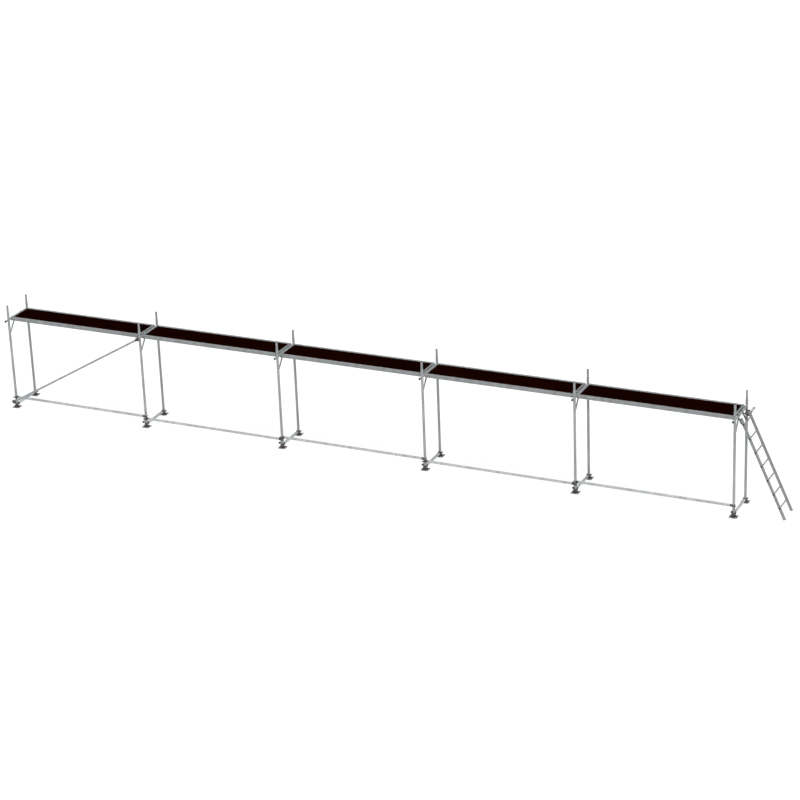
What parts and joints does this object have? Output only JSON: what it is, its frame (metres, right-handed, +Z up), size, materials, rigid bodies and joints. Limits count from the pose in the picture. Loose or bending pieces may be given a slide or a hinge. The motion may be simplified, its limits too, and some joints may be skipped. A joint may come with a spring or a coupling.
{
  "type": "scaffold work platform",
  "caption": "Long decked scaffold platform on tubular frames with screw base jacks, ledgers, a diagonal brace and a hooked-on access ladder.",
  "frame": {"origin": "on the ground, under the middle of the object's box", "axes": "+X along the run towards the ladder, +Y from the ledger side to the back, +Z up"},
  "size_m": [15.9852, 1.066, 2.16],
  "materials": {
    "galvanised_tube": "dull hot-dip galvanised, faintly mottled",
    "bright_tube": "bright galvanised",
    "deck_steel": "galvanised sheet",
    "dark_steel": "dark weathered forged steel",
    "plywood": "dark brown phenolic film, anti-slip",
    "ladder_aluminium": "mill finish, slightly dulled",
    "cap_plastic": "moulded, matte"
  },
  "bodies": {
    "platform": {"frame_1": "galvanised_tube", "cross_tube_1": "bright_tube", "frame_2": "galvanised_tube", "cross_tube_2": "bright_tube", "frame_3": "galvanised_tube", "cross_tube_3": "bright_tube", "frame_4": "galvanised_tube", "cross_tube_4": "bright_tube", "frame_5": "galvanised_tube", "cross_tube_5": "bright_tube", "frame_6": "galvanised_tube", "cross_tube_6": "bright_tube", "ledger_1": "bright_tube", "deck_frame_1": "deck_steel", "plywood_1": "plywood", "ledger_2": "bright_tube", "deck_frame_2": "deck_steel", "plywood_2": "plywood", "ledger_3": "bright_tube", "deck_frame_3": "deck_steel", "plywood_3": "plywood", "ledger_4": "bright_tube", "deck_frame_4": "deck_steel", "plywood_4": "plywood", "ledger_5": "bright_tube", "deck_frame_5": "deck_steel", "plywood_5": "plywood", "diagonal_brace": "bright_tube", "support_tube": "bright_tube", "support_coupler": "dark_steel"},
    "jack_front_1": {"base_jack_front_1": "dark_steel"},
    "nut_front_1": {"jack_nut_front_1": "dark_steel"},
    "jack_back_1": {"base_jack_back_1": "dark_steel"},
    "nut_back_1": {"jack_nut_back_1": "dark_steel"},
    "jack_front_2": {"base_jack_front_2": "dark_steel"},
    "nut_front_2": {"jack_nut_front_2": "dark_steel"},
    "jack_back_2": {"base_jack_back_2": "dark_steel"},
    "nut_back_2": {"jack_nut_back_2": "dark_steel"},
    "jack_front_3": {"base_jack_front_3": "dark_steel"},
    "nut_front_3": {"jack_nut_front_3": "dark_steel"},
    "jack_back_3": {"base_jack_back_3": "dark_steel"},
    "nut_back_3": {"jack_nut_back_3": "dark_steel"},
    "jack_front_4": {"base_jack_front_4": "dark_steel"},
    "nut_front_4": {"jack_nut_front_4": "dark_steel"},
    "jack_back_4": {"base_jack_back_4": "dark_steel"},
    "nut_back_4": {"jack_nut_back_4": "dark_steel"},
    "jack_front_5": {"base_jack_front_5": "dark_steel"},
    "nut_front_5": {"jack_nut_front_5": "dark_steel"},
    "jack_back_5": {"base_jack_back_5": "dark_steel"},
    "nut_back_5": {"jack_nut_back_5": "dark_steel"},
    "jack_front_6": {"base_jack_front_6": "dark_steel"},
    "nut_front_6": {"jack_nut_front_6": "dark_steel"},
    "jack_back_6": {"base_jack_back_6": "dark_steel"},
    "nut_back_6": {"jack_nut_back_6": "dark_steel"},
    "ladder": {"ladder_frame": "ladder_aluminium", "ladder_cap_front": "cap_plastic", "ladder_cap_back": "cap_plastic", "ladder_hook_front": "dark_steel", "ladder_hook_middle": "dark_steel", "ladder_hook_back": "dark_steel"}
  },
  "joints": [
    {"name": "nut_turn_front_1", "type": "hinge", "parent": "platform", "child": "nut_front_1", "pos_m": [-7.91759, -0.412, 0.03], "axis": [0, 0, 1], "range_deg": [0, 9000]},
    {"name": "jack_travel_front_1", "type": "slide", "parent": "platform", "child": "jack_front_1", "axis": [0, 0, -1], "range_m": [0, 0.2005]},
    {"name": "nut_turn_back_1", "type": "hinge", "parent": "platform", "child": "nut_back_1", "pos_m": [-7.91759, 0.264, 0.03], "axis": [0, 0, 1], "range_deg": [0, 9000]},
    {"name": "jack_travel_back_1", "type": "slide", "parent": "platform", "child": "jack_back_1", "axis": [0, 0, -1], "range_m": [0, 0.2005]},
    {"name": "nut_turn_front_2", "type": "hinge", "parent": "platform", "child": "nut_front_2", "pos_m": [-4.91759, -0.412, 0.03], "axis": [0, 0, 1], "range_deg": [0, 9000]},
    {"name": "jack_travel_front_2", "type": "slide", "parent": "platform", "child": "jack_front_2", "axis": [0, 0, -1], "range_m": [0, 0.2005]},
    {"name": "nut_turn_back_2", "type": "hinge", "parent": "platform", "child": "nut_back_2", "pos_m": [-4.91759, 0.264, 0.03], "axis": [0, 0, 1], "range_deg": [0, 9000]},
    {"name": "jack_travel_back_2", "type": "slide", "parent": "platform", "child": "jack_back_2", "axis": [0, 0, -1], "range_m": [0, 0.2005]},
    {"name": "nut_turn_front_3", "type": "hinge", "parent": "platform", "child": "nut_front_3", "pos_m": [-1.91759, -0.412, 0.03], "axis": [0, 0, 1], "range_deg": [0, 9000]},
    {"name": "jack_travel_front_3", "type": "slide", "parent": "platform", "child": "jack_front_3", "axis": [0, 0, -1], "range_m": [0, 0.2005]},
    {"name": "nut_turn_back_3", "type": "hinge", "parent": "platform", "child": "nut_back_3", "pos_m": [-1.91759, 0.264, 0.03], "axis": [0, 0, 1], "range_deg": [0, 9000]},
    {"name": "jack_travel_back_3", "type": "slide", "parent": "platform", "child": "jack_back_3", "axis": [0, 0, -1], "range_m": [0, 0.2005]},
    {"name": "nut_turn_front_4", "type": "hinge", "parent": "platform", "child": "nut_front_4", "pos_m": [1.08241, -0.412, 0.03], "axis": [0, 0, 1], "range_deg": [0, 9000]},
    {"name": "jack_travel_front_4", "type": "slide", "parent": "platform", "child": "jack_front_4", "axis": [0, 0, -1], "range_m": [0, 0.2005]},
    {"name": "nut_turn_back_4", "type": "hinge", "parent": "platform", "child": "nut_back_4", "pos_m": [1.08241, 0.264, 0.03], "axis": [0, 0, 1], "range_deg": [0, 9000]},
    {"name": "jack_travel_back_4", "type": "slide", "parent": "platform", "child": "jack_back_4", "axis": [0, 0, -1], "range_m": [0, 0.2005]},
    {"name": "nut_turn_front_5", "type": "hinge", "parent": "platform", "child": "nut_front_5", "pos_m": [4.08241, -0.412, 0.03], "axis": [0, 0, 1], "range_deg": [0, 9000]},
    {"name": "jack_travel_front_5", "type": "slide", "parent": "platform", "child": "jack_front_5", "axis": [0, 0, -1], "range_m": [0, 0.2005]},
    {"name": "nut_turn_back_5", "type": "hinge", "parent": "platform", "child": "nut_back_5", "pos_m": [4.08241, 0.264, 0.03], "axis": [0, 0, 1], "range_deg": [0, 9000]},
    {"name": "jack_travel_back_5", "type": "slide", "parent": "platform", "child": "jack_back_5", "axis": [0, 0, -1], "range_m": [0, 0.2005]},
    {"name": "nut_turn_front_6", "type": "hinge", "parent": "platform", "child": "nut_front_6", "pos_m": [7.08241, -0.412, 0.03], "axis": [0, 0, 1], "range_deg": [0, 9000]},
    {"name": "jack_travel_front_6", "type": "slide", "parent": "platform", "child": "jack_front_6", "axis": [0, 0, -1], "range_m": [0, 0.2005]},
    {"name": "nut_turn_back_6", "type": "hinge", "parent": "platform", "child": "nut_back_6", "pos_m": [7.08241, 0.264, 0.03], "axis": [0, 0, 1], "range_deg": [0, 9000]},
    {"name": "jack_travel_back_6", "type": "slide", "parent": "platform", "child": "jack_back_6", "axis": [0, 0, -1], "range_m": [0, 0.2005]},
    {"name": "ladder_swing", "type": "hinge", "parent": "platform", "child": "ladder", "pos_m": [7.08241, -0.039, 1.866], "axis": [0, -1, 0], "range_deg": [0, 60]}
  ],
  "couplings": [
    {"joint": "jack_travel_front_1", "follows": "nut_turn_front_1", "m_per_rad": 0.0012732},
    {"joint": "jack_travel_back_1", "follows": "nut_turn_back_1", "m_per_rad": 0.0012732},
    {"joint": "jack_travel_front_2", "follows": "nut_turn_front_2", "m_per_rad": 0.0012732},
    {"joint": "jack_travel_back_2", "follows": "nut_turn_back_2", "m_per_rad": 0.0012732},
    {"joint": "jack_travel_front_3", "follows": "nut_turn_front_3", "m_per_rad": 0.0012732},
    {"joint": "jack_travel_back_3", "follows": "nut_turn_back_3", "m_per_rad": 0.0012732},
    {"joint": "jack_travel_front_4", "follows": "nut_turn_front_4", "m_per_rad": 0.0012732},
    {"joint": "jack_travel_back_4", "follows": "nut_turn_back_4", "m_per_rad": 0.0012732},
    {"joint": "jack_travel_front_5", "follows": "nut_turn_front_5", "m_per_rad": 0.0012732},
    {"joint": "jack_travel_back_5", "follows": "nut_turn_back_5", "m_per_rad": 0.0012732},
    {"joint": "jack_travel_front_6", "follows": "nut_turn_front_6", "m_per_rad": 0.0012732},
    {"joint": "jack_travel_back_6", "follows": "nut_turn_back_6", "m_per_rad": 0.0012732}
  ]
}
